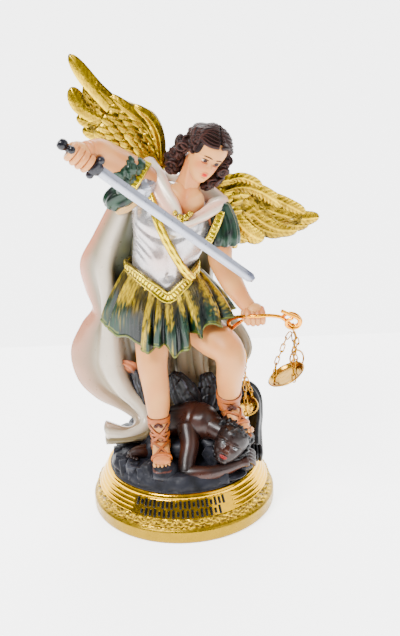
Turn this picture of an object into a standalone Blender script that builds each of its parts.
# Archangel with raised sword and balance, standing on a demon: a cast and painted table statuette.
# Metres, +Z up, the front faces -Y. The origin is the middle of the plinth's flat underside.
import math
import bmesh
import bpy
import numpy as np
from mathutils import Matrix, Vector

# Overall and plinth sizes
FIGURE_HEIGHT = 0.135       # plinth top to the tip of the raised wing
PLINTH_HEIGHT = 0.015
PLINTH_RADIUS = 0.0304      # plain foot
FOOT_HEIGHT = 0.0048
BAND_RADIUS = 0.0290        # ornament band above the foot
BAND_HEIGHT = 0.0032
LIP_RADIUS = 0.0253         # top edge
RING_COUNT = 4
RING_GROOVE = 0.0006
PANEL_ANGLE = math.radians(76.0)    # smooth name panel across the front rings
LIP_HEIGHT = 0.0017
EDGE = 0.0005               # rounding of the plinth's corners

# Fits
GAP = 0.0003                # between touching pieces

# Sword
GRIP_RADIUS = 0.0012
POMMEL_RADIUS = 0.0016
BLADE_LENGTH = 0.0585
BLADE_WIDTH = 0.0036
BLADE_THICKNESS = 0.0015
GUARD_WIDTH = 0.0058
GUARD_LENGTH = 0.0034

# Balance
WIRE_RADIUS = 0.00043
PAN_RADIUS = 0.0062
PAN_DEPTH = 0.0011
PAN_WALL = 0.0005
PAN_HOLE_RADIUS = 0.00095
PAN_HOLE_CIRCLE = 0.00475     # from the pan's middle
LINK_LENGTH = 0.0029
LINK_WIDTH = 0.0013
LINK_WIRE = 0.00034
SMALL_RING_RADIUS = 0.00125
LARGE_RING_RADIUS = 0.0027

# The figure's free form is written in parts of its own height, 135 to the whole, counted up from 15
UNIT = FIGURE_HEIGHT / 135.0
STAND = 15.0
GLUE_FACE = 9.5             # flat back that the wings are glued to, behind the figure's middle
SMOOTH_BELOW = math.radians(40.0)
UP = (0.0, 0.0, 1.0)
BACK = (0.0, 1.0, 0.0)


def world(point):
    x, y, z = point[:3]
    return Vector((x * UNIT, y * UNIT, PLINTH_HEIGHT + GAP + (z - STAND) * UNIT))


def unit(rows):
    rows = np.asarray(rows, float)
    return rows / np.maximum(np.linalg.norm(rows, axis=-1, keepdims=True), 1e-12)


# A smooth curve through the rows; every column is carried the same way
def curve(rows, count):
    rows = np.array(rows, float)
    ends = np.vstack([2 * rows[0] - rows[1], rows, 2 * rows[-1] - rows[-2]])
    t = np.linspace(0, len(rows) - 1, count)
    i = np.minimum(t.astype(int), len(rows) - 2)
    f = (t - i)[:, None]
    a, b, c, d = ends[i], ends[i + 1], ends[i + 2], ends[i + 3]
    return 0.5 * (2 * b + (c - a) * f + (2 * a - 5 * b + 4 * c - d) * f ** 2
                  + (3 * b - a - 3 * c + d) * f ** 3)


# Joins rings of points, rings x sides x 3, into one closed skin with flat ends
def skin(bm, rings, closed=False):
    count, sides = rings.shape[:2]
    grid = [[bm.verts.new(p) for p in ring] for ring in rings]
    pairs = [(k, (k + 1) % count) for k in range(count if closed else count - 1)]
    for low, high in pairs:
        for j in range(sides):
            n = (j + 1) % sides
            bm.faces.new((grid[low][j], grid[low][n], grid[high][n], grid[high][j]))
    if not closed:
        bm.faces.new(grid[0][::-1])
        bm.faces.new(grid[-1])


# A limb, fold or feather: an oval section carried along a smooth path.
# Rows are x, y, z, half width and, where it isn't round, half depth
def limb(bm, rows, facing=BACK, sides=12, steps=4):
    width = max(len(row) for row in rows)
    full = [tuple(row) + (row[3],) * (width - len(row)) for row in rows]
    path = curve(full, steps * (len(rows) - 1) + 1)
    centre = path[:, :3]
    wide = path[:, 3]
    deep = path[:, 4] if width > 4 else wide
    run = unit(np.gradient(centre, axis=0))
    side = unit(np.cross(run, np.array(facing)))
    back = np.cross(side, run)
    turn = np.linspace(0, 2 * np.pi, sides, endpoint=False)
    rings = (centre[:, None] + (wide[:, None] * np.cos(turn))[..., None] * side[:, None]
             + (deep[:, None] * np.sin(turn))[..., None] * back[:, None])
    skin(bm, rings)


# Turn by degrees about X, then Z, then Y
def turned(degrees):
    x, z, y = (math.radians(d) for d in degrees)
    return np.array(Matrix.Rotation(y, 3, "Y") @ Matrix.Rotation(z, 3, "Z") @ Matrix.Rotation(x, 3, "X"))


# An egg shape, turned by three angles
def ball(bm, centre, radii, turn=(0.0, 0.0, 0.0), rings=10, sides=14):


    spin = turned(turn)
    up = np.linspace(-0.5 * np.pi, 0.5 * np.pi, rings + 2)[1:-1]
    turn_round = np.linspace(0, 2 * np.pi, sides, endpoint=False)
    shell = np.stack([np.cos(up)[:, None] * np.cos(turn_round), np.cos(up)[:, None] * np.sin(turn_round),
                      np.broadcast_to(np.sin(up)[:, None], (rings, sides))], -1) * np.array(radii)
    skin(bm, shell @ spin.T + np.array(centre))


# Thick cloth: columns of points from top to hem, smoothed both ways and given a thickness
def cloth(bm, columns, thick, rows=30, across=18):
    down = np.array([curve(column, rows) for column in columns])
    mesh = np.array([curve(down[:, k], across) for k in range(rows)])
    along = np.gradient(mesh, axis=0)
    over = np.gradient(mesh, axis=1)
    normal = unit(np.cross(over, along))
    front = mesh + 0.5 * thick * normal
    rear = mesh - 0.5 * thick * normal
    skin(bm, np.concatenate([front, rear[:, ::-1]], axis=1))


# A broken stone: the hull of points thrown around its middle
def rock(bm, centre, size, seed, count=16):
    dice = np.random.default_rng(seed)
    points = unit(dice.normal(size=(count, 3))) * dice.uniform(0.82, 1.05, (count, 1))
    made = [bm.verts.new(p) for p in points * np.array(size) + np.array(centre)]
    hull = bmesh.ops.convex_hull(bm, input=made)
    spare = {v for v in hull["geom_interior"] + hull["geom_unused"] if isinstance(v, bmesh.types.BMVert)}
    bmesh.ops.delete(bm, geom=list(spare), context="VERTS")


# Turns the figure's parts into metres and makes an object of them
def finish(bm, name, material, in_parts=True):
    if in_parts:
        for v in bm.verts:
            v.co = world(v.co)
    bmesh.ops.recalc_face_normals(bm, faces=bm.faces)
    mesh = bpy.data.meshes.new(name)
    bm.to_mesh(mesh)
    bm.free()
    mesh.shade_smooth()
    mesh.set_sharp_from_angle(angle=SMOOTH_BELOW)
    piece = bpy.data.objects.new(name, mesh)
    bpy.context.scene.collection.objects.link(piece)
    if material is not None:
        mesh.materials.append(material)
    return piece


def paint(name, colour, roughness, metallic=0.0):
    material = bpy.data.materials.new(name)
    material.use_nodes = True
    shader = material.node_tree.nodes["Principled BSDF"]
    shader.inputs["Base Color"].default_value = (*colour, 1.0)
    shader.inputs["Roughness"].default_value = roughness
    shader.inputs["Metallic"].default_value = metallic
    material.diffuse_color = (*colour, 1.0)
    return material


def cutter(bm, name, in_parts=False):
    piece = finish(bm, name, None, in_parts)
    piece.hide_render = True
    piece.display_type = "WIRE"
    return piece


def cut(piece, tool, operation="DIFFERENCE"):
    step = piece.modifiers.new(tool.name, "BOOLEAN")
    step.operation = operation
    step.solver = "EXACT"
    step.object = tool


# Welds overlapping shapes into one skin of about the stated number of triangles
def fuse(piece, grain, ratio):
    weld = piece.modifiers.new("fuse", "REMESH")
    weld.mode = "VOXEL"
    weld.voxel_size = grain
    weld.use_smooth_shade = True
    thin = piece.modifiers.new("facets", "DECIMATE")
    thin.ratio = ratio
    thin.use_collapse_triangulate = True


def box(bm, low, high):
    middle = [0.5 * (a + b) for a, b in zip(low, high)]
    size = [b - a for a, b in zip(low, high)]
    bmesh.ops.create_cube(bm, size=1.0, matrix=Matrix.Translation(middle) @ Matrix.Diagonal((*size, 1.0)))


for old in list(bpy.data.objects):
    bpy.data.objects.remove(old, do_unlink=True)

gold = paint("plinth_gold", (0.72, 0.53, 0.16), 0.28, 0.9)
painted = paint("painted_resin", (0.62, 0.58, 0.52), 0.45)
wing_gold = paint("wing_gold", (0.62, 0.47, 0.13), 0.38, 0.8)
steel = paint("sword_silver", (0.52, 0.53, 0.55), 0.35, 0.7)
brass = paint("balance_brass", (0.75, 0.55, 0.2), 0.3, 1.0)
orange = paint("beam_gold", (0.78, 0.42, 0.08), 0.3, 1.0)

# Plinth: a turned profile whose rings give way to a smooth panel at the front
foot_top = FOOT_HEIGHT
band_top = foot_top + BAND_HEIGHT
lip_low = PLINTH_HEIGHT - LIP_HEIGHT
ring_height = (lip_low - band_top) / RING_COUNT


# The slope's outer radius at a height between the ornament band and the lip
def slope(z):
    share = (z - band_top) / (lip_low - band_top)
    return (BAND_RADIUS - EDGE) * (1 - share) + (LIP_RADIUS + 0.5 * EDGE) * share


# Rows are height, radius and how far the grooves between the rings cut in
profile = [(0.0, PLINTH_RADIUS - EDGE, 0.0), (EDGE, PLINTH_RADIUS, 0.0),
           (foot_top - 0.4 * EDGE, PLINTH_RADIUS - 0.4 * EDGE, 0.0),
           (foot_top + 0.4 * EDGE, BAND_RADIUS + 0.6 * EDGE, 0.0),
           (band_top - 0.6 * EDGE, BAND_RADIUS - 0.6 * EDGE, 0.0)]
for ring in range(RING_COUNT):
    for share, depth in ((0.02, RING_GROOVE), (0.25, 0.0), (0.75, 0.0)):
        z = band_top + (ring + share) * ring_height
        profile.append((z, slope(z), depth))
profile += [(lip_low, slope(lip_low), RING_GROOVE), (lip_low + EDGE, LIP_RADIUS + 0.4 * EDGE, 0.0),
            (PLINTH_HEIGHT - EDGE, LIP_RADIUS, 0.0), (PLINTH_HEIGHT, LIP_RADIUS - EDGE, 0.0)]
turns = np.linspace(0, 2 * np.pi, 28, endpoint=False) - 0.5 * np.pi
ringed = np.abs((turns + 1.5 * np.pi) % (2 * np.pi) - np.pi) >= 0.5 * PANEL_ANGLE
rings = []
for z, radius, depth in profile:
    reach = radius - depth * ringed
    rings.append(np.stack([reach * np.cos(turns), reach * np.sin(turns), np.full(len(turns), z)], -1))
bm = bmesh.new()
skin(bm, np.array(rings))
plinth = finish(bm, "plinth", gold, in_parts=False)

# Figure: angel, cape, demon and rocks in one casting
bm = bmesh.new()
# trunk in its cuirass, shoulders, neck
limb(bm, ((-3.0, 2.0, 62, 9.0, 7.0), (-3.2, 1.5, 71, 10.4, 7.8), (-4.2, 1.0, 79, 9.8, 7.8),
          (-3.8, 1.0, 85, 9.8, 7.4),
          (-1.6, 1.2, 92, 11.6, 7.8), (0.6, 2.0, 99, 13.2, 7.6), (2.4, 2.6, 104, 11.6, 6.2),
          (3.8, 3.6, 108, 6.0, 4.4)), sides=18)
ball(bm, (-2.6, -2.6, 83.0), (6.0, 4.6, 6.6))
ball(bm, (-5.4, -1.9, 97.0), (6.8, 4.4, 5.0))
ball(bm, (6.0, -1.7, 96.0), (6.0, 4.2, 4.8))
ball(bm, (-7.6, -1.0, 109.5), (5.4, 5.0, 5.6))
ball(bm, (12.6, 1.6, 101.0), (4.6, 4.6, 4.4))
ball(bm, (2.5, 6.5, 103.0), (11.0, 5.5, 8.5))
limb(bm, ((3.2, 2.0, 103, 5.2), (4.6, 1.0, 108, 4.1), (6.4, 0.0, 113, 3.8), (9.0, -1.0, 118, 4.2)))
# head, hair cap and curls; the head is tilted, turned and bowed as one
head_turn = (10.0, 24.0, 29.0)
head_middle = np.array((11.2, -2.2, 120.0))
head_spin = turned(head_turn)


def on_head(x, y, z):
    return tuple(head_spin @ np.array((x, y, z)) + head_middle)


ball(bm, on_head(0, 0, 0.4), (5.5, 6.4, 7.2), head_turn, 14, 18)
ball(bm, on_head(0, -2.9, -4.0), (3.7, 3.6, 3.6), head_turn)
ball(bm, on_head(0, -5.2, -6.4), (1.5, 1.2, 1.2), head_turn)
nose = ((-6.0, 1.4, 0.55), (-6.9, -0.6, 0.8), (-6.7, -1.6, 0.9))
limb(bm, [(*on_head(0, y, z), r) for y, z, r in nose], sides=8)
ball(bm, on_head(0, 1.5, 1.9), (6.7, 6.7, 6.8), head_turn, 14, 18)
for side in (-1.0, 1.0):
    for lock in range(5):
        back = 2.1 * lock
        rows = ((0.0, 0.6, -5.0, 7.5, 0.8), (0.3, 3.4, -5.6, 6.3, 1.25), (0.6, 5.6, -4.0, 3.4, 1.3),
                (0.85, 6.5, -2.0, 0.4, 1.2), (1.0, 6.3, -0.8, -2.6, 0.9))
        limb(bm, [(*on_head(side * x, y + back * (0.3 + 0.7 * t), z), r, 0.8) for t, x, y, z, r in rows],
             sides=8)
for curl in ((4.4, -2.4, 124.2, 2.9), (7.4, -4.6, 123.9, 2.3), (2.6, -1.2, 120.9, 2.4),
             (0.9, 0.2, 118.6, 2.9),
             (0.8, 0.4, 115.6, 2.3), (17.3, -1.4, 117.2, 2.1), (16.0, -1.2, 114.6, 2.2),
             (13.8, -0.6, 112.0, 2.5),
             (11.2, 0.4, 110.0, 2.4)):
    ball(bm, curl[:3], (curl[3], curl[3], curl[3] * 1.1), rings=8, sides=10)
# scarf bands and brooch
limb(bm, ((-6.8, 5.0, 116.0, 2.6, 2.2), (-5.0, 1.2, 112.6, 3.0, 1.8), (-2.0, -3.4, 108.0, 2.8, 1.7),
          (1.0, -6.4, 103.6, 2.2, 1.5), (2.6, -7.4, 101.2, 1.5, 1.3)))
limb(bm, ((14.6, 4.4, 103.6, 2.8, 2.2), (12.4, -1.0, 103.2, 2.7, 1.9), (9.0, -5.0, 101.8, 2.3, 1.6),
          (5.6, -7.0, 100.8, 1.9, 1.4), (3.0, -7.8, 100.6, 1.4, 1.2)), facing=(0.3, 0.6, 0.7))
ball(bm, (3.4, -7.2, 102.6), (2.4, 1.5, 2.6))
# belt
belt = [(-15.0, -0.6, 84.8), (-10.7, -5.0, 82.2), (-6.1, -7.4, 79.2), (-2.1, -8.2, 76.6),
        (1.7, -7.4, 79.0), (5.6, -4.6, 82.0), (7.0, 0.0, 83.4), (4.0, 6.4, 83.2), (-4.0, 8.6, 82.8),
        (-11.5, 6.0, 83.8), (-15.0, -0.6, 84.8)]
limb(bm, [(x, y, z, 1.5, 1.3) for x, y, z in belt], facing=UP, sides=8)
# raised arm, its puffed sleeve and the fist around the grip
limb(bm, ((-7.4, 1.0, 111.5, 4.5), (-12.5, -4.0, 117.5, 4.3), (-17.4, -9.0, 122.2, 4.2),
          (-20.9, -13.0, 125.4, 4.0),
          (-23.6, -15.6, 126.9, 3.8)))
ball(bm, (-12.6, -3.6, 118.0), (4.4, 4.2, 3.8))
ball(bm, (-14.0, -5.6, 114.0), (4.2, 4.0, 4.4))
limb(bm, ((-11.0, -2.0, 110.4, 3.4), (-14.6, -2.6, 108.2, 3.8, 3.0), (-17.6, -2.8, 106.2, 3.6, 2.8),
          (-18.4, -2.4, 103.8, 2.8, 2.2)))
limb(bm, ((-7.4, -3.0, 117.4, 1.5, 1.2), (-9.2, -5.8, 115.0, 1.6, 1.2), (-11.4, -7.2, 111.4, 1.6, 1.2),
          (-12.6, -5.0, 109.2, 1.4, 1.1)))
sword_fist = (-25.6, -18.0, 125.0)
grip_line = unit((0.757, 0.09, -0.645))
fist_half = 4.0
limb(bm, [(*(np.array(sword_fist) + grip_line * fist_half * s), r, r * 0.95) for s, r in
          ((-1.0, 2.6), (-0.8, 3.5), (-0.3, 4.1), (0.3, 4.0), (0.8, 3.4), (1.0, 2.6))], sides=14, steps=2)
# lowered arm, its sleeve and the fist on the beam
limb(bm, ((12.6, 2.0, 100.0, 3.8), (14.3, 1.0, 94.9, 3.9), (14.7, 0.0, 88.5, 3.8),
          (14.9, -1.0, 84.9, 3.6),
          (17.5, -4.0, 79.8, 3.2), (20.7, -7.0, 74.8, 2.7), (22.6, -8.2, 72.2, 2.6),
          (24.0, -9.0, 70.8, 2.6)))
limb(bm, ((14.0, 1.6, 101.6, 4.2), (15.2, 1.0, 97.0, 4.8), (15.2, 0.2, 92.4, 5.0),
          (15.0, 0.0, 90.4, 4.4)))
limb(bm, ((14.8, -3.0, 101.4, 1.3, 1.0), (13.2, -4.6, 98.0, 1.4, 1.0), (11.4, -5.2, 94.4, 1.4, 1.0),
          (10.4, -4.2, 92.0, 1.2, 1.0)))
beam_fist = (24.8, -9.4, 70.0)
ball(bm, beam_fist, (3.7, 3.6, 3.7))
for finger in range(4):
    knuckle = (22.9 + 1.35 * finger, -11.6, 68.4 - 0.25 * abs(finger - 1.5))
    ball(bm, knuckle, (0.85, 1.6, 2.3), rings=6, sides=8)


# Pleated skirt: a bell whose hem waves and rises over the forward knee
waist_half = (9.8, 8.0)
hem_half = (19.2, 12.4)


def waist(turn):
    return 83.4 - 6.4 * max(0.0, -math.sin(turn)) ** 3


def hem(turn):
    front = max(0.0, -math.sin(turn))
    return 64.8 - 5.6 * front + 2.4 * max(0.0, math.cos(turn)) + 1.2 * math.sin(7 * turn + 0.6)


skirt = []
for row in np.linspace(0.0, 1.0, 9):
    ring = []
    for turn in np.linspace(0, 2 * np.pi, 56, endpoint=False):
        pleat = (0.3 + 0.9 * row) * math.sin(12 * turn + 0.8 * row)
        wide, deep = (a + (b - a) * row ** 0.8 + pleat for a, b in zip(waist_half, hem_half))
        ring.append((-3.6 + 0.9 * row + wide * math.cos(turn), 0.6 - 0.4 * row + deep * math.sin(turn),
                     waist(turn) + (hem(turn) - waist(turn)) * row))
    skirt.append(ring)
skirt.append([(-2.7 + 0.76 * (x + 2.7), 0.2 + 0.76 * (y - 0.2), z + 0.4) for x, y, z in skirt[-1]])
skin(bm, np.array(skirt))
# legs and feet in strapped sandals
limb(bm, ((-7.0, 1.5, 73, 6.6), (-7.9, 1.0, 65.8, 6.2), (-8.2, -2.0, 57.6, 5.5), (-8.5, -4.0, 51.4, 4.9),
          (-7.6, -6.0, 44.1, 4.2), (-7.2, -7.0, 38.4, 3.8), (-7.3, -8.0, 33.5, 3.0),
          (-6.9, -8.8, 28.5, 2.6),
          (-6.8, -9.4, 24.6, 2.7)))
limb(bm, ((-6.9, -6.6, 24.6, 2.2, 2.0), (-6.8, -10.0, 25.0, 2.7, 2.6), (-6.6, -14.0, 24.0, 2.9, 2.2),
          (-6.4, -18.0, 22.8, 3.0, 1.6), (-6.4, -19.6, 22.4, 2.4, 1.0)), facing=UP)
limb(bm, ((2.0, 1.5, 71, 7.0), (6.3, 1.0, 63.8, 6.6), (11.2, -5.0, 60.6, 6.1), (15.6, -10.0, 58.8, 5.4),
          (16.9, -10.8, 54.8, 4.8), (16.3, -8.0, 47.6, 4.2), (16.1, -5.4, 41.2, 3.5),
          (16.0, -4.4, 37.1, 3.0),
          (16.6, -5.4, 34.4, 2.8)))
limb(bm, ((15.8, -2.8, 34.6, 2.2, 2.2), (17.6, -8.0, 33.8, 2.8, 2.8), (19.5, -12.0, 31.8, 2.8, 2.2),
          (21.2, -15.6, 29.6, 2.4, 1.5)), facing=UP)
for x, y, z, r in ((-7.4, -6.4, 41.2, 4.3), (-7.2, -7.4, 36.2, 3.9), (-6.9, -8.6, 30.6, 3.1),
                   (16.2, -6.4, 44.6, 4.2), (16.0, -4.8, 39.0, 3.6)):
    limb(bm, ((x, y, z - 0.6, r, r), (x, y, z + 0.6, r, r)))

# Cape: the billowing sword side that curls under at the hem, and the part across the back
cape_left = [
    ((-18.8, 6, 102.8), (-24.9, 7, 92.8), (-29.8, 8, 83.4), (-28.6, 9, 73.3), (-26.4, 9, 66.8),
     (-30.8, 9, 61), (-35, 9, 52), (-33.6, 8, 42.2), (-28.0, 7, 35.4), (-20.6, 6, 31.2),
     (-16.4, 4.5, 28.8), (-15.6, 2, 27.2), (-18.4, -0.6, 26.6), (-24.5, -2.4, 30.4)),
    ((-15.7, 4, 101.0), (-20.7, 4, 90.3), (-22.9, 4, 81.9), (-22.0, 4.5, 71.3), (-22.5, 4.5, 62.5),
     (-22.3, 4.5, 55.4), (-21.8, 4.5, 47), (-18.3, 4.5, 38.8), (-14.2, 4.0, 34.2), (-11.9, 2.8, 31.2),
     (-11.4, 1.2, 28.8), (-13, -1, 26.6), (-18.8, -3, 25.4), (-25, -3.5, 27)),
    ((-11.5, 5.5, 101.0), (-13.5, 7.5, 90.2), (-15.5, 9, 80.6), (-15.5, 11, 70.7), (-14.0, 12, 64.2),
     (-12.5, 12, 57), (-10.5, 11, 48), (-10.0, 9.5, 39.0), (-9.8, 8, 34.2), (-9.9, 5, 31.8),
     (-9.7, 2.5, 29.4), (-10.2, -0.6, 26.4), (-12.5, -3.4, 24.4), (-25.0, -4.4, 23.4))]
cloth(bm, cape_left, 2.6, rows=52, across=14)
cape_back = [
    ((-11.5, 6.5, 101.0), (-13.5, 7.5, 90.2), (-15.0, 10, 80.6), (-15.0, 12, 70),
     (-13.0, 12.5, 60), (-11.0, 12.5, 50),
     (-10.0, 11.5, 40.0), (-10.0, 12, 30.0), (-10.0, 13, 20)),
    ((-4.0, 7.0, 104.0), (-5.0, 8.0, 92.0), (-6.5, 11.5, 80.0), (-6.0, 15, 70), (-5.0, 16.5, 60),
     (-4.0, 16, 50),
     (-3.6, 14.5, 42), (-3.0, 14, 32), (-3.0, 14, 22)),
    ((4.0, 7.0, 105.0), (2.5, 7.5, 92.0), (1.0, 10, 80.0), (1.5, 13, 70), (2.0, 13.5, 60),
     (2.6, 12.5, 50),
     (3.2, 9.5, 42), (4.6, 8.0, 36.5), (5.4, 7.4, 31.2)),
    ((11.0, 6.5, 103.5), (8.5, 8.0, 92.0), (6.5, 11.5, 80.0), (7.0, 15, 70), (8.5, 16.5, 62),
     (10.0, 16, 55),
     (10.5, 14, 49), (10.0, 12, 45), (9.6, 11, 42)),
    ((16.0, 6.0, 101.0), (13.7, 7.5, 90.8), (12.2, 9, 81.3), (12.2, 10, 71.2), (16.3, 11, 64.3),
     (21.8, 12, 57.5),
     (24.6, 12, 51), (24.0, 11.5, 46.6), (21.5, 11, 43.4))]
cloth(bm, cape_back, 2.6, rows=40, across=30)

# Demon: trunk, arms, head with hair and beard, and black wings
limb(bm, ((-7.0, 6.0, 22, 4.6), (-2.5, 3.0, 26, 5.8), (3.0, -1.5, 29.2, 6.4), (7.2, -5.0, 30.2, 6.2),
          (10.4, -7.0, 29.6, 4.4)))
limb(bm, ((2.2, -7.0, 29.5, 3.6), (2.4, -11.5, 26.0, 3.0), (1.6, -15.5, 22.0, 2.7),
          (1.2, -18.0, 19.2, 2.6)))
limb(bm, ((0.6, -17.6, 18.8, 2.4), (3.0, -18.8, 18.6, 2.6), (9.0, -19.0, 18.8, 2.4),
          (14.6, -17.2, 19.4, 2.2),
          (18.6, -15.2, 20.2, 2.2), (20.6, -14.4, 20.6, 2.5)), facing=UP)
for finger in range(4):
    limb(bm, ((19.6, -14.6 + 1.1 * finger, 21.4 + 0.7 * finger, 0.9),
              (22.4, -13.6 + 1.1 * finger, 20.4 + 0.8 * finger, 0.8),
              (23.4, -13.0 + 1.1 * finger, 19.0 + 0.8 * finger, 0.6)), sides=8)
limb(bm, ((9.0, -6.5, 30.0, 4.0), (13.0, -9.5, 29.0, 3.8), (16.0, -11.5, 27.6, 4.0)))
ball(bm, (16.4, -12.4, 27.2), (4.9, 4.8, 5.5), (20.0, 0.0, 35.0))
ball(bm, (14.7, -17.0, 26.2), (0.9, 1.2, 1.5), (20.0, 0.0, 35.0))
for lump in ((19.4, -9.6, 29.8, 3.0), (20.6, -10.2, 26.4, 2.9), (14.6, -9.6, 31.2, 3.0),
             (17.2, -10.6, 31.6, 2.6),
             (14.4, -14.6, 22.8, 2.2), (17.2, -14.6, 22.2, 2.3), (19.6, -13.0, 23.4, 2.3)):
    ball(bm, lump[:3], (lump[3],) * 3, rings=8, sides=10)
for rows in (((4.8, 1.6, 30.0, 3.6, 1.8), (1.8, 3.0, 36.5, 4.4, 1.8), (-0.8, 4.0, 41.5, 3.0, 1.5),
              (-2.4, 4.2, 43.6, 1.2, 0.9)),
             ((9.4, 2.6, 31.5, 3.0, 2.0), (9.8, 4.6, 38.0, 3.4, 1.6), (9.0, 5.4, 42.4, 1.8, 1.1)),
             ((-19.2, 5.4, 48.2, 0.8, 0.8), (-16.4, 5.4, 47.4, 2.0, 1.6), (-13.2, 5.0, 45.0, 2.8, 1.9),
              (-12.2, 4.6, 40.0, 2.8, 1.9), (-10.6, 4.4, 34.5, 3.0, 2.2), (-8.0, 4.6, 28.0, 4.0, 3.0)),
             ((13.0, 8.0, 27.0, 3.4, 3.4), (18.0, 11.5, 31.6, 2.8, 2.8), (22.4, 12.8, 33.6, 2.4, 2.4),
              (24.8, 12.2, 30.4, 2.6, 2.6), (25.0, 8.6, 26.0, 2.6, 2.6), (24.2, 3.0, 22.6, 2.7, 2.6),
              (23.4, -4.6, 17.8, 3.4, 2.6))):
    limb(bm, rows)
for barb in range(4):
    limb(bm, ((5.2 - 1.7 * barb, 1.2, 30.0 + 0.6 * barb, 1.2, 1.0),
              (3.4 - 1.6 * barb, 1.6, 36.0 + barb, 1.1, 1.0),
              (1.4 - 1.2 * barb, 2.8, 40.2 + 1.1 * barb, 0.7, 0.7)))
limb(bm, ((-10.5, -5.5, 20.6, 2.6), (-14.6, -7.8, 21.6, 2.1), (-17.2, -9.4, 21.6, 1.2)))

# Rocks over the whole stand, cut flat where they meet the plinth
turn = np.linspace(0, 2 * np.pi, 40, endpoint=False)
mound = 0.93 * LIP_RADIUS / UNIT * (1 + 0.022 * np.sin(5 * turn) + 0.018 * np.sin(9 * turn + 1))


skin(bm, np.array([np.stack([mound * s * np.cos(turn), mound * s * np.sin(turn), 0 * turn + z], -1)
                   for s, z in ((0.97, 12.0), (1.0, 16.0), (0.95, 18.2), (0.7, 19.4))]))
stones = ((-19.6, -6.0, 18.2, 4.4, 6.0, 4.4), (-15.4, -11.2, 18.0, 4.2, 4.8, 4.6),
          (-10.2, -15.0, 18.0, 4.4, 5.0, 4.2), (-6.4, -15.4, 18.6, 5.2, 6.0, 4.6),
          (-2.0, -18.6, 16.6, 3.6, 3.6, 2.6), (6.0, -17.4, 16.0, 8.0, 5.0, 2.2),
          (14.0, -15.0, 16.2, 7.0, 5.0, 2.2), (19.0, -8.0, 17.4, 4.6, 7.0, 3.6),
          (9.4, -12.6, 20.6, 3.2, 3.6, 3.8), (-13.0, 9.0, 20.0, 8.0, 9.0, 6.0),
          (4.0, 12.0, 19.6, 11.0, 9.0, 6.0), (15.0, 8.0, 18.6, 7.0, 9.0, 5.0),
          (-18.0, 3.0, 20.0, 5.0, 8.0, 4.6), (0.0, 0.0, 21.0, 10.0, 10.0, 6.0),
          (10.0, -3.0, 21.0, 8.0, 8.0, 6.0), (-9.0, -4.0, 20.0, 7.0, 6.0, 4.4))
for seed, stone in enumerate(stones):
    rock(bm, stone[:3], stone[3:], seed + 3)
figure = finish(bm, "figure", painted)
fuse(figure, 0.0052 * FIGURE_HEIGHT, 0.0222)

# The casting is cut flat under the rocks, and flat behind where the wings are glued on
beyond = 2.0 * (FIGURE_HEIGHT + PLINTH_HEIGHT)
back_plane = GLUE_FACE * UNIT
bm = bmesh.new()
box(bm, (-beyond, -beyond, -beyond), (beyond, beyond, PLINTH_HEIGHT + GAP))
cut(figure, cutter(bm, "stand_cut"))
bm = bmesh.new()
box(bm, (-beyond, back_plane, world((0, 0, 87))[2]), (beyond, beyond, beyond))
cut(figure, cutter(bm, "back_cut"))


# Wings: flat-backed, with the long leading coverts, rows of small feathers and long pinions
def wing(name, edge, pinions, scales):
    bm = bmesh.new()
    root = np.array(edge[0])
    for forward, share in ((0.0, 1.0), (0.36, 0.86), (0.64, 0.72)):
        middle = root + (np.array(edge) - root) * share + (0.0, 0.8 - forward, 0.0)
        limb(bm, [(*p, r * 1.1, r * 0.75) for p, r in zip(middle, np.linspace(2.1, 1.3, len(edge)))],
             sides=8, steps=2)
    vane = ((0.0, 0.7), (0.3, 0.95), (0.6, 1.0), (0.85, 0.8), (0.97, 0.42), (1.0, 0.16))
    for start, tip, wide in pinions:
        a, b = np.array(start), np.array(tip)
        bend = np.array((0.0, -0.8, 0.0))
        limb(bm, [(*(a + (b - a) * s + bend * math.sin(math.pi * s)), wide * w, 0.85) for s, w in vane],
             sides=8, steps=2)
    for x, y, z, r in scales:
        ball(bm, (x, y, z), (r, 1.4, r), rings=6, sides=8)
    piece = finish(bm, name, wing_gold)
    fuse(piece, 0.0048 * FIGURE_HEIGHT, 0.06)
    tool = bmesh.new()
    box(tool, (-beyond, -beyond, -beyond), (beyond, back_plane + GAP, beyond))
    cut(piece, cutter(tool, name + "_root_cut"))
    return piece


sword_edge = [(-1.5, 11.5, 104.0), (-2.4, 11.6, 112.0), (-2.0, 11.4, 118.6), (-1.6, 11.6, 125.0),
              (-3.8, 12.0, 130.2),
              (-8.4, 12.6, 133.4), (-14.0, 13.2, 135.6), (-19.5, 14.0, 138.0), (-24.5, 15.0, 142.5)]
sword_pinions = [((-12.0, 12.6, 127.0), (-28.6, 16.0, 148.6), 2.9), ((-9.0, 12.4, 130.0),
                                                                     (-20.9, 13.8, 140.8), 2.2),
                 ((-10.0, 12.6, 123.0), (-29.3, 16.0, 137.0), 2.3), ((-9.0, 12.6, 121.0),
                                                                     (-29.6, 15.6, 132.6), 2.2),
                 ((-8.0, 12.4, 118.0), (-27.2, 15.0, 127.6), 2.2), ((-7.0, 12.2, 115.5),
                                                                    (-26.6, 14.6, 124.4), 2.1),
                 ((-5.0, 12.0, 113.5), (-22.0, 13.8, 120.6), 2.1), ((-4.0, 11.8, 111.5),
                                                                    (-16.5, 12.8, 117.0), 2.1),
                 ((-3.0, 11.6, 108.5), (-9.6, 12.0, 114.4), 2.2), ((-4.0, 12.0, 121.0),
                                                                   (-16.0, 13.2, 134.0), 3.0)]
sword_scales = [(-5.0 - 3.9 * i - 0.6 * j, 12.0 + 0.22 * i, 118.6 + 2.1 * i + 3.6 * j - 0.3 * i * j, 2.3)
                for j in range(4) for i in range(5)]
wing("wing_sword_side", sword_edge, sword_pinions, sword_scales)
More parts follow.
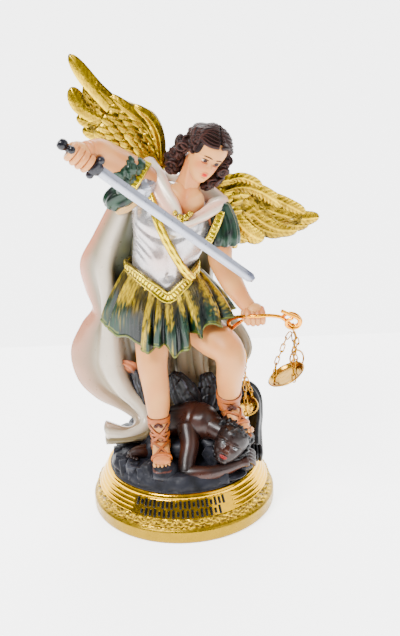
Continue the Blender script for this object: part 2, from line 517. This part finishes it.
scale_edge = [(8.0, 11.5, 100.0), (9.5, 11.4, 104.0), (12.4, 11.6, 107.2), (17.5, 12.0, 109.0),
              (22.7, 12.6, 108.8),
              (27.6, 13.8, 106.2), (32.5, 15.6, 102.6), (37.5, 17.8, 98.0), (43.0, 20.0, 93.0)]
scale_pinions = [((26.0, 14.0, 101.0), (48.4, 22.0, 90.4), 2.5), ((24.0, 14.0, 99.0),
                                                                  (44.8, 21.0, 87.4), 2.3),
                 ((22.0, 13.6, 97.5), (40.8, 20.0, 86.2), 2.3), ((20.0, 13.2, 97.0),
                                                                 (36.4, 18.6, 85.6), 2.3),
                 ((18.0, 12.8, 97.0), (31.6, 17.0, 85.8), 2.3), ((16.0, 12.4, 97.0),
                                                                 (28.2, 15.8, 84.6), 2.4),
                 ((14.0, 12.2, 96.5), (24.0, 14.4, 86.6), 2.2), ((12.5, 12.0, 96.0),
                                                                 (21.2, 12.8, 84.2), 2.2),
                 ((11.0, 11.8, 95.5), (18.2, 12.0, 84.4), 2.1), ((10.0, 11.6, 99.0),
                                                                 (15.5, 11.8, 88.0), 2.3)]
scale_scales = [(12.5 + 4.6 * i - 0.4 * j, 12.2 + 0.45 * i, 104.8 - 1.2 * i - 3.1 * j, 2.3)
                for j in range(4) for i in range(5)]
wing("wing_scale_side", scale_edge, scale_pinions, scale_scales)


# Sword: one section carried along its line, from round pommel and grip through the guard to the blade
def sword_rings(grow):
    grip_half = fist_half * UNIT + GAP
    rows = [(-grip_half - 1.98 * POMMEL_RADIUS, 0.25 * POMMEL_RADIUS, 0.25 * POMMEL_RADIUS)]
    rows += [(-grip_half - POMMEL_RADIUS * (1 + c), POMMEL_RADIUS * s, POMMEL_RADIUS * s)
             for c, s in ((0.7, 0.71), (0.0, 1.0), (-0.6, 0.86))]
    rows += [(s * (grip_half - 0.1 * GRIP_RADIUS), GRIP_RADIUS, GRIP_RADIUS) for s in (-1, 1)]
    rows += [(grip_half + GUARD_LENGTH * s, 0.5 * GUARD_WIDTH * w, 0.5 * GUARD_WIDTH * 0.62 * w)
             for s, w in ((0.06, 0.7), (0.35, 1.0), (0.7, 0.9), (0.97, 0.55))]
    root = grip_half + GUARD_LENGTH
    blade = ((0.0, 1.0, 1.0), (0.3, 0.97, 1.0), (0.6, 0.93, 1.0), (0.9, 0.86, 1.0), (0.975, 0.8, 0.9),
             (1.0, 0.5, 0.6))
    rows += [(root + BLADE_LENGTH * s, 0.5 * BLADE_WIDTH * w, 0.5 * BLADE_THICKNESS * t)
             for s, w, t in blade]
    across = unit(np.cross((0.0, 1.0, 0.0), grip_line))
    front = unit(np.cross(grip_line, across))
    turn = np.linspace(0, 2 * np.pi, 8, endpoint=False)
    centre = np.array(world(sword_fist))
    rings = [centre + grip_line * s + ((a + grow) * np.cos(turn))[:, None] * across
             + ((b + grow) * np.sin(turn))[:, None] * front for s, a, b in rows]
    # the blade's section is drawn in between its four corners, to a lozenge
    for ring, row in zip(rings, rows):
        if row[0] >= root:
            ring[1::2] = 0.5 * (ring[0::2] + np.roll(ring[0::2], -1, axis=0))
    return np.array(rings)


bm = bmesh.new()
skin(bm, sword_rings(0.0))
finish(bm, "sword", steel, in_parts=False)
bm = bmesh.new()
skin(bm, sword_rings(GAP)[:10])
cut(figure, cutter(bm, "sword_clearance"))

# Beam: one wire, bent back on itself into a hook at each end, lying across the lowered fist
beam_points = [(20.8, -7.6, 67.0), (18.9, -6.2, 65.0), (17.6, -5.2, 63.6), (16.6, -5.2, 64.6),
               (17.0, -5.8, 66.6),
               (19.0, -8.0, 68.4), (21.1, -11.0, 69.8), (23.2, -13.0, 70.6), (25.6, -13.6, 70.8),
               (28.1, -13.8, 71.0),
               (30.9, -14.2, 70.9), (33.0, -14.5, 70.4), (34.9, -14.6, 68.8), (36.5, -14.8, 67.6),
               (38.1, -15.0, 68.2),
               (38.3, -15.3, 69.8), (37.0, -15.7, 71.0), (35.1, -15.9, 72.0), (32.9, -16.0, 73.2)]


def wire(route, radius, sides=6):
    points = np.array([world(p) for p in route])
    path = curve(points, 2 * (len(points) - 1) + 1)
    run = unit(np.gradient(path, axis=0))
    side = unit(np.cross(run, BACK))
    back = np.cross(side, run)
    turn = np.linspace(0, 2 * np.pi, sides, endpoint=False)
    return (path[:, None] + radius * np.cos(turn)[:, None] * side[:, None]
            + radius * np.sin(turn)[:, None] * back[:, None])


bm = bmesh.new()
skin(bm, wire(beam_points, WIRE_RADIUS))
finish(bm, "scale_beam", orange, in_parts=False)
bm = bmesh.new()
skin(bm, wire(beam_points, WIRE_RADIUS + GAP)[2:23])
cut(figure, cutter(bm, "beam_clearance"))


# A closed ring of three-sided wire, lying in the plane of two directions
def loop(bm, centre, one, two, long, wide, thick, corners=4):
    normal = unit(np.cross(one, two))
    rings = []
    for turn in np.linspace(0, 2 * np.pi, corners, endpoint=False):
        out = math.cos(turn) * np.array(one) * long + math.sin(turn) * np.array(two) * wide
        away = unit(out)
        rings.append([centre + out + 0.62 * thick * (a * away + b * normal)
                      for a, b in ((-0.6, -0.9), (1.0, 0.0), (-0.6, 0.9))])
    skin(bm, np.array(rings), closed=True)


# A chain: pierced lozenge links along a smooth path, each turned a quarter from the last and joined to it
def chain(bm, path, start=0):
    fine = curve(np.array(path), 200)
    length = np.concatenate([[0.0], np.cumsum(np.linalg.norm(np.diff(fine, axis=0), axis=1))])
    count = max(2, round(length[-1] / (LINK_LENGTH - LINK_WIRE)))
    spots = np.array([[np.interp(s, length, fine[:, k]) for k in range(3)]
                      for s in np.linspace(0, length[-1], count + 1)])
    run = unit(np.gradient(spots, axis=0))
    side = unit(np.cross(run, (0.35, 1.0, 0.0)))
    other = np.cross(run, side)
    half = 0.5 * LINK_WIRE
    necks = [{(a, b): bm.verts.new(p + half * (a * u + b * v)) for a in (-1, 1) for b in (-1, 1)}
             for p, u, v in zip(spots, side, other)]
    for k in range(count):
        upright = (k + start) % 2
        along = unit(spots[k + 1] - spots[k])
        u = unit(side[k] + side[k + 1])
        v = unit(np.cross(along, u))
        wide, thin = (v, u) if upright else (u, v)
        middle = 0.5 * (spots[k] + spots[k + 1])
        reach = 0.5 * LINK_WIDTH
        skins = []
        for n in (-1, 1):
            low = [necks[k][(n, w) if upright else (w, n)] for w in (-1, 1)]
            high = [necks[k + 1][(n, w) if upright else (w, n)] for w in (-1, 1)]
            left, right = (bm.verts.new(middle + w * reach * wide + n * half * thin) for w in (-1, 1))
            holes = [bm.verts.new(p + n * half * thin) for p in
                     (spots[k] + 1.5 * LINK_WIRE * along, middle + (reach - LINK_WIRE) * wide,
                      spots[k + 1] - 1.5 * LINK_WIRE * along, middle - (reach - LINK_WIRE) * wide)]
            skins.append(([low[0], low[1], right, high[1], high[0], left], holes))
            (a, b, c, d, e, f), (p, q, r, s) = skins[-1]
            for face in ((a, b, p), (b, c, q, p), (c, d, r, q), (d, e, r), (e, f, s, r), (f, a, p, s)):
                bm.faces.new(face)
        (outer_low, hole_low), (outer_high, hole_high) = skins
        for m, n in ((1, 2), (2, 3), (4, 5), (5, 0)):
            bm.faces.new((outer_low[m], outer_low[n], outer_high[n], outer_high[m]))
        for m in range(4):
            n = (m + 1) % 4
            bm.faces.new((hole_low[m], hole_low[n], hole_high[n], hole_high[m]))
    for neck in (necks[0], necks[-1]):
        bm.faces.new([neck[q] for q in ((-1, -1), (1, -1), (1, 1), (-1, 1))])


# The dish of a pan: a turned hollow with three holes near its rim
def pan(name, centre, face):
    up = unit(face)
    one = unit(np.cross((0.0, 1.0, 0.0), up))
    two = np.cross(up, one)
    rows = ((0.72, 0.0), (0.94, 0.5), (1.0, 1.0), (0.92, 1.0), (0.7, 0.0))
    lift = (0.0, 0.0, 0.0, 0.0, PAN_WALL)
    turn = np.linspace(0, 2 * np.pi, 18, endpoint=False)
    rings = [centre + (PAN_RADIUS * r) * (np.cos(turn)[:, None] * one + np.sin(turn)[:, None] * two)
             + (PAN_DEPTH * h + more) * up for (r, h), more in zip(rows, lift)]
    bm = bmesh.new()
    skin(bm, np.array(rings))
    piece = finish(bm, name, brass, in_parts=False)
    holes = bmesh.new()
    for angle in pan_holes:
        middle = centre + PAN_HOLE_CIRCLE * (math.cos(angle) * one + math.sin(angle) * two)


        t = np.linspace(0, 2 * np.pi, 6, endpoint=False)[:, None]
        edge = middle + PAN_HOLE_RADIUS * (np.cos(t) * one + np.sin(t) * two)
        skin(holes, np.array([edge - 4 * PAN_WALL * up, edge + 4 * PAN_WALL * up]))
    cut(piece, cutter(holes, name + "_holes"))
    spots = [centre + PAN_HOLE_CIRCLE * (math.cos(a) * one + math.sin(a) * two) for a in pan_holes]
    return spots, one, two, up


pan_holes = (math.radians(180.0), math.radians(38.0), math.radians(-70.0))


# What hangs on a hook: a small ring, the strands from it and, on one strand, a large ring
def hung(name, hook, wire_run, strands, large_ring=None):
    down = np.array((0.0, 0.0, -1.0))
    other = unit(np.cross(wire_run, down))
    centre = hook + down * (SMALL_RING_RADIUS - LINK_WIRE * 0.5 - WIRE_RADIUS - GAP)
    links = bmesh.new()
    for path, angle in strands:
        begin = centre + SMALL_RING_RADIUS * (math.cos(angle) * down + math.sin(angle) * other)
        chain(links, [begin] + list(path))
    piece = finish(links, name, brass, in_parts=False)
    ring = bmesh.new()
    loop(ring, centre, down, other, SMALL_RING_RADIUS, SMALL_RING_RADIUS, LINK_WIRE, corners=10)
    cut(piece, cutter(ring, name + "_small_ring"), "UNION")
    if large_ring is not None:
        ring = bmesh.new()
        middle, one, two = large_ring
        loop(ring, middle, one, two, LARGE_RING_RADIUS, LARGE_RING_RADIUS, LINK_WIRE, corners=16)
        cut(piece, cutter(ring, name + "_large_ring"), "UNION")


through = 0.18 * LINK_LENGTH


# The last link drops squarely through its hole
def into(hole, up):
    return [hole + (LINK_LENGTH + LINK_WIRE) * up, hole - through * up]


def places(*points):
    return [np.array(world(p)) for p in points]


outer_hook, inner_hook, outer_middle, inner_middle = places(
    (36.5, -14.8, 67.6), (17.4, -5.2, 63.6), (34.7, -15.0, 50.1), (19.9, 5.6, 29.6))
outer_face = (-0.433, -0.05, 0.9)       # the way each dish looks, as it hangs
inner_face = (0.06, -0.22, 0.97)
outer_holes, one, two, outer_up = pan("pan_outer", outer_middle, outer_face)
reach = math.cos(pan_holes[1]) * one + math.sin(pan_holes[1]) * two
bite = 0.3 * LINK_WIRE                  # how far the large ring sits into the rim and the link above
ring_middle = outer_middle + (PAN_RADIUS - bite) * reach + (LARGE_RING_RADIUS - bite) * outer_up
ring_top = ring_middle + LARGE_RING_RADIUS * outer_up
hung("chains_outer", outer_hook, (1.0, 0.0, 0.0),
     ((places((33.9, -14.9, 63.2), (32.6, -15.0, 59.0), (31.0, -15.0, 55.0))
       + into(outer_holes[0], outer_up), -0.3),
      (places((37.4, -13.4, 62.2)) + [ring_top], 0.9),
      (places((37.0, -16.9, 62.0), (36.2, -18.6, 57.0)) + into(outer_holes[2], outer_up), -1.2)),
     (ring_middle, reach, outer_up))
inner_holes, one, two, inner_up = pan("pan_inner", inner_middle, inner_face)
inner_path = places((19.0, -3.4, 59.6), (20.9, -1.2, 55.2), (21.8, 0.8, 50.4), (21.4, 3.2, 45.0))
strand_gap = 1.25 * LINK_WIDTH          # from strand to strand, so that their links pass
strand_space = np.array((-0.25 * LINK_WIDTH, strand_gap, 0.0))
hung("chains_inner", inner_hook, (1.0, 0.3, 0.0),
     [([p + k * strand_space for p in inner_path] + into(hole, inner_up), 1.0 * k)
      for k, hole in ((0, inner_holes[0]), (1, inner_holes[1]), (-1, inner_holes[2]))])

# The casting is hollowed where the inner pan and its chain hang against it
bm = bmesh.new()
turn = np.linspace(0, 2 * np.pi, 24, endpoint=False)[:, None]
rim = inner_middle + (PAN_RADIUS + GAP) * (np.cos(turn) * one + np.sin(turn) * two)
skin(bm, np.array([rim + s * inner_up for s in (-through - GAP, PAN_DEPTH + PAN_WALL + GAP)]))
cut(figure, cutter(bm, "inner_pan_clearance"))
bm = bmesh.new()
room = strand_gap + 0.5 * LINK_WIDTH + GAP
rows = [(*p, room) for p in [inner_hook] + inner_path]
limb(bm, rows + [(*inner_middle, PAN_HOLE_CIRCLE + LINK_WIDTH)], steps=3)
cut(figure, cutter(bm, "inner_chain_clearance"))
